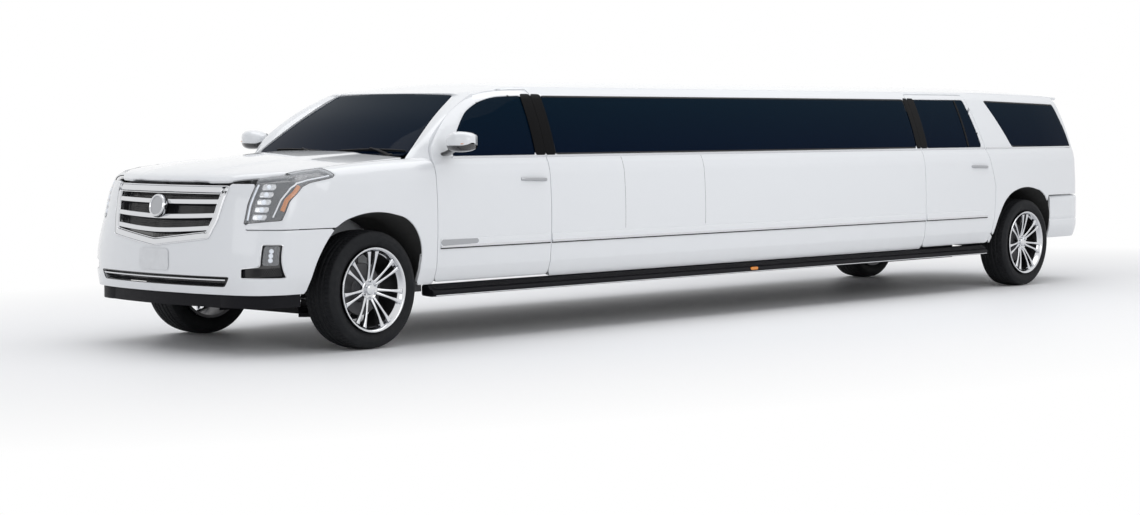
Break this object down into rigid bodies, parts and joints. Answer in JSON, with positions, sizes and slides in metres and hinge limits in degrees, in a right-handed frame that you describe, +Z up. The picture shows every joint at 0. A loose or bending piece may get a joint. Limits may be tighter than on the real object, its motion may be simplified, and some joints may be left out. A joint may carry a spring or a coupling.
{
  "type": "stretch limousine",
  "caption": "Long white stretch limousine with dark glass, chrome grille and wheels, hinged doors, hood and tailgate, and steering.",
  "frame": {"origin": "on the ground under the middle of the car's length and width", "axes": "+X forward, +Y to the car's left, +Z up"},
  "size_m": [10.688, 2.45, 1.8717],
  "materials": {
    "body_white": "clear-coated gloss",
    "tinted_glass": "dark tint",
    "chrome": "polished",
    "bright_alloy": "polished alloy",
    "trim_black": "grained",
    "frame_black": "satin chassis paint",
    "cast_metal": "as cast",
    "exhaust_steel": "satin",
    "tyre_rubber": "matte",
    "lamp_clear": "clear lens",
    "lamp_red": "clear red lens",
    "black_leather": "stitched leather",
    "dash_vinyl": "soft grained vinyl",
    "carpet": "cut pile",
    "bar_wood": "dark gloss veneer"
  },
  "bodies": {
    "body": {"frame_rails": "frame_black", "frame_crossmembers": "frame_black", "towing_crossmember": "frame_black", "towing_socket": "frame_black", "floor_pan": "carpet", "front_structure": "body_white", "cabin_sides": "body_white", "windscreen_pillars": "body_white", "roof": "body_white", "front_fenders": "body_white", "front_bumper": "body_white", "front_valance": "trim_black", "grille": "chrome", "headlamps": "lamp_clear", "fog_lamps": "lamp_clear", "windscreen": "tinted_glass", "side_glass": "tinted_glass", "rear_bumper": "body_white", "tail_lamps": "lamp_red", "running_boards": "trim_black", "engine_block": "cast_metal", "drive_line": "cast_metal", "rear_axle": "frame_black", "fuel_tank": "trim_black", "exhaust": "exhaust_steel", "front_suspension": "frame_black", "dashboard": "dash_vinyl", "front_seats": "black_leather", "partition": "dash_vinyl", "lounge_bench": "black_leather", "bar_cabinet": "bar_wood"},
    "hood": {"hood": "body_white"},
    "tailgate": {"tailgate": "body_white", "tailgate_glass": "tinted_glass"},
    "steering_rack": {"steering_rack": "cast_metal"},
    "steering_wheel": {"steering_wheel": "dash_vinyl"},
    "left_front_door": {"left_front_door": "body_white", "left_front_window": "tinted_glass", "left_mirror": "body_white"},
    "left_rear_door": {"left_rear_door": "body_white", "left_rear_window": "tinted_glass"},
    "left_knuckle": {"left_knuckle": "cast_metal"},
    "left_front_wheel": {"left_front_wheel": "bright_alloy", "left_front_tyre": "tyre_rubber"},
    "left_rear_wheel": {"left_rear_wheel": "bright_alloy", "left_rear_tyre": "tyre_rubber"},
    "right_front_door": {"right_front_door": "body_white", "right_front_window": "tinted_glass", "right_mirror": "body_white"},
    "right_rear_door": {"right_rear_door": "body_white", "right_rear_window": "tinted_glass"},
    "right_knuckle": {"right_knuckle": "cast_metal"},
    "right_front_wheel": {"right_front_wheel": "bright_alloy", "right_front_tyre": "tyre_rubber"},
    "right_rear_wheel": {"right_rear_wheel": "bright_alloy", "right_rear_tyre": "tyre_rubber"}
  },
  "joints": [
    {"name": "left_front_door_hinge", "type": "hinge", "parent": "body", "child": "left_front_door", "pos_m": [3.654, 1.031, 1], "axis": [0, 0.061, -0.9981], "range_deg": [0, 65]},
    {"name": "left_rear_door_hinge", "type": "hinge", "parent": "body", "child": "left_rear_door", "pos_m": [-2.396, 1.031, 1], "axis": [0, 0.061, -0.9981], "range_deg": [0, 65]},
    {"name": "left_kingpin", "type": "hinge", "parent": "body", "child": "left_knuckle", "pos_m": [4.252, 0.79, 0.4075], "axis": [0, 0, 1], "range_deg": [-32, 32]},
    {"name": "left_front_wheel_spin", "type": "hinge", "parent": "left_knuckle", "child": "left_front_wheel", "pos_m": [4.252, 0.8725, 0.4075], "axis": [0, 1, 0], "continuous": true},
    {"name": "left_rear_wheel_spin", "type": "hinge", "parent": "body", "child": "left_rear_wheel", "pos_m": [-4.088, 0.8725, 0.4075], "axis": [0, 1, 0], "continuous": true},
    {"name": "right_front_door_hinge", "type": "hinge", "parent": "body", "child": "right_front_door", "pos_m": [3.654, -1.031, 1], "axis": [0, 0.061, 0.9981], "range_deg": [0, 65]},
    {"name": "right_rear_door_hinge", "type": "hinge", "parent": "body", "child": "right_rear_door", "pos_m": [-2.396, -1.031, 1], "axis": [0, 0.061, 0.9981], "range_deg": [0, 65]},
    {"name": "right_kingpin", "type": "hinge", "parent": "body", "child": "right_knuckle", "pos_m": [4.252, -0.79, 0.4075], "axis": [0, 0, 1], "range_deg": [-32, 32]},
    {"name": "right_front_wheel_spin", "type": "hinge", "parent": "right_knuckle", "child": "right_front_wheel", "pos_m": [4.252, -0.8725, 0.4075], "axis": [0, 1, 0], "continuous": true},
    {"name": "right_rear_wheel_spin", "type": "hinge", "parent": "body", "child": "right_rear_wheel", "pos_m": [-4.088, -0.8725, 0.4075], "axis": [0, 1, 0], "continuous": true},
    {"name": "hood_hinge", "type": "hinge", "parent": "body", "child": "hood", "pos_m": [3.849, 0, 1.343], "axis": [0, -1, 0], "range_deg": [0, 50]},
    {"name": "tailgate_hinge", "type": "hinge", "parent": "body", "child": "tailgate", "pos_m": [-4.999, 0, 1.834], "axis": [0, 1, 0], "range_deg": [0, 85]},
    {"name": "rack_slide", "type": "slide", "parent": "body", "child": "steering_rack", "axis": [0, 1, 0], "range_m": [-0.0755, 0.0755]},
    {"name": "steering_wheel_turn", "type": "hinge", "parent": "body", "child": "steering_wheel", "pos_m": [3.132, 0.405, 1.04], "axis": [-0.9135, 0, 0.4067], "range_deg": [-450, 450]}
  ],
  "couplings": [
    {"joint": "right_kingpin", "follows": "left_kingpin", "ratio": 1},
    {"joint": "rack_slide", "follows": "left_kingpin", "m_per_rad": 0.134},
    {"joint": "steering_wheel_turn", "follows": "left_kingpin", "ratio": 14}
  ]
}
